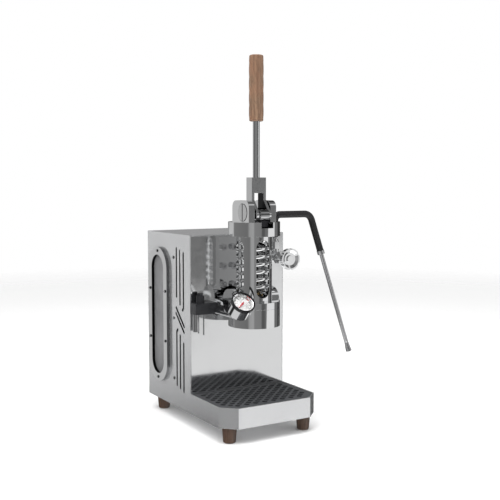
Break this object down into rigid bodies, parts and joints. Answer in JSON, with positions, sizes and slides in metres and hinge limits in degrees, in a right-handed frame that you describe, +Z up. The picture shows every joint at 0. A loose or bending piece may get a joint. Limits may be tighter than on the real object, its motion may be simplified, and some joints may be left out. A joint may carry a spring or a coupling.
{
  "type": "espresso machine",
  "caption": "Compact lever espresso machine: steel case on wooden feet, open-cage spring group, pressure gauge, steam knob and swivelling wand, drip tray with lift-out grate.",
  "frame": {"origin": "on the floor plane, straight below the middle of the front panel's front face", "axes": "+X is the machine's right as seen from its front, -Y is the front, +Z is up"},
  "size_m": [0.3236, 0.2888, 0.6059],
  "materials": {
    "case_steel": "fine brushed sheet",
    "mirror_steel": "polished, softly blurred mirror",
    "window_grey": "satin",
    "screw_steel": "machined",
    "foot_walnut": "oiled",
    "grip_walnut": "oiled",
    "pan_steel": "satin",
    "grate_dark": "satin powder coat",
    "boiler_steel": "satin",
    "black_rubber": "matte",
    "element_metal": "oxidised",
    "brass": "machined",
    "black_plastic": "fine grain",
    "chrome": "polished",
    "screen_steel": "polished",
    "piston_steel": "blackened",
    "spring_steel": "polished wire",
    "lever_steel": "satin turned",
    "gauge_black": "gloss",
    "dial_white": "printed",
    "needle_red": "satin",
    "glass": "clear",
    "manifold_dark": "satin black",
    "pipe_steel": "satin drawn",
    "rocker_red": "gloss"
  },
  "bodies": {
    "case": {"left_side_panel": "case_steel", "right_side_panel": "case_steel", "front_panel": "mirror_steel", "back_panel": "case_steel", "top_panel": "case_steel", "base_plate": "case_steel", "tray_skirt": "case_steel", "left_window_ring": "case_steel", "left_window_panel": "window_grey", "left_panel_screws": "screw_steel", "right_window_ring": "case_steel", "right_window_panel": "window_grey", "right_panel_screws": "screw_steel", "feet": "foot_walnut", "boiler_shell": "boiler_steel", "boiler_flange": "boiler_steel", "boiler_gasket": "black_rubber", "boiler_bolts": "screw_steel", "heating_element": "element_metal", "temperature_probe": "brass", "control_box": "black_plastic", "group_feed_pipe": "boiler_steel", "steam_pipe": "boiler_steel", "group_bell": "chrome", "spring_cage": "chrome", "flange_bolts": "screw_steel", "group_cap": "chrome", "shower_screen": "screen_steel", "group_gasket": "black_rubber", "rod_bush": "brass", "main_spring": "spring_steel", "pivot_pin": "lever_steel", "gauge_case": "chrome", "gauge_bezel": "gauge_black", "gauge_dial": "dial_white", "gauge_glass": "glass", "gauge_elbow": "chrome", "relief_manifold": "manifold_dark", "relief_pipes": "pipe_steel", "steam_valve": "chrome", "valve_nut": "chrome", "switch_housing": "black_plastic", "power_inlet": "black_plastic"},
    "lever": {"lever_fork": "lever_steel", "lever_rod": "lever_steel", "lever_grip": "grip_walnut", "roller_pin": "lever_steel"},
    "roller": {"cam_roller": "lever_steel"},
    "plunger": {"piston": "piston_steel", "piston_seals": "black_rubber", "piston_rod": "piston_steel"},
    "knob": {"steam_knob": "chrome"},
    "wand": {"wand_tube": "pipe_steel", "wand_sleeve": "black_rubber", "wand_tip": "pipe_steel"},
    "needle": {"gauge_needle": "needle_red"},
    "pan": {"drip_pan": "pan_steel"},
    "grate": {"drip_grate": "grate_dark"},
    "rocker": {"switch_rocker": "rocker_red"},
    "cap": {"filler_cap": "black_plastic"}
  },
  "joints": [
    {"name": "lever_swing", "type": "hinge", "parent": "case", "child": "lever", "pos_m": [0, -0.0585, 0.3572], "axis": [1, 0, 0], "range_deg": [0, 90], "stiffness_Nm_per_rad": 1.6, "springref_deg": -14.32},
    {"name": "roller_spin", "type": "hinge", "parent": "lever", "child": "roller", "pos_m": [0, -0.07728, 0.35321], "axis": [1, 0, 0], "continuous": true},
    {"name": "plunger_slide", "type": "slide", "parent": "case", "child": "plunger", "axis": [0, 0, -1], "range_m": [0, 0.0142], "deforming": ["main_spring"]},
    {"name": "knob_turn", "type": "hinge", "parent": "case", "child": "knob", "pos_m": [0.0622, -0.0627, 0.2791], "axis": [0, -1, 0], "range_deg": [0, 360]},
    {"name": "wand_swivel", "type": "hinge", "parent": "case", "child": "wand", "pos_m": [0.0622, -0.0169, 0.3], "axis": [0, 0, 1], "range_deg": [-90, 25]},
    {"name": "needle_turn", "type": "hinge", "parent": "case", "child": "needle", "pos_m": [-0.0518, -0.1049, 0.2203], "axis": [0.0502, 0.7176, -0.6947], "range_deg": [0, 250], "stiffness_Nm_per_rad": 0.0005},
    {"name": "pan_lift", "type": "slide", "parent": "case", "child": "pan", "axis": [0, 0, 1], "range_m": [0, 0.045]},
    {"name": "grate_lift", "type": "slide", "parent": "pan", "child": "grate", "axis": [0, 0, 1], "range_m": [0, 0.045]},
    {"name": "rocker_tip", "type": "hinge", "parent": "case", "child": "rocker", "pos_m": [-0.04, 0.1632, 0.058], "axis": [-1, 0, 0], "range_deg": [0, 14]},
    {"name": "filler_cap_lift", "type": "slide", "parent": "case", "child": "cap", "axis": [0, 0, 1], "range_m": [0, 0.04]}
  ],
  "couplings": [
    {"joint": "plunger_slide", "follows": "lever_swing", "m_per_rad": 0.0089127}
  ]
}
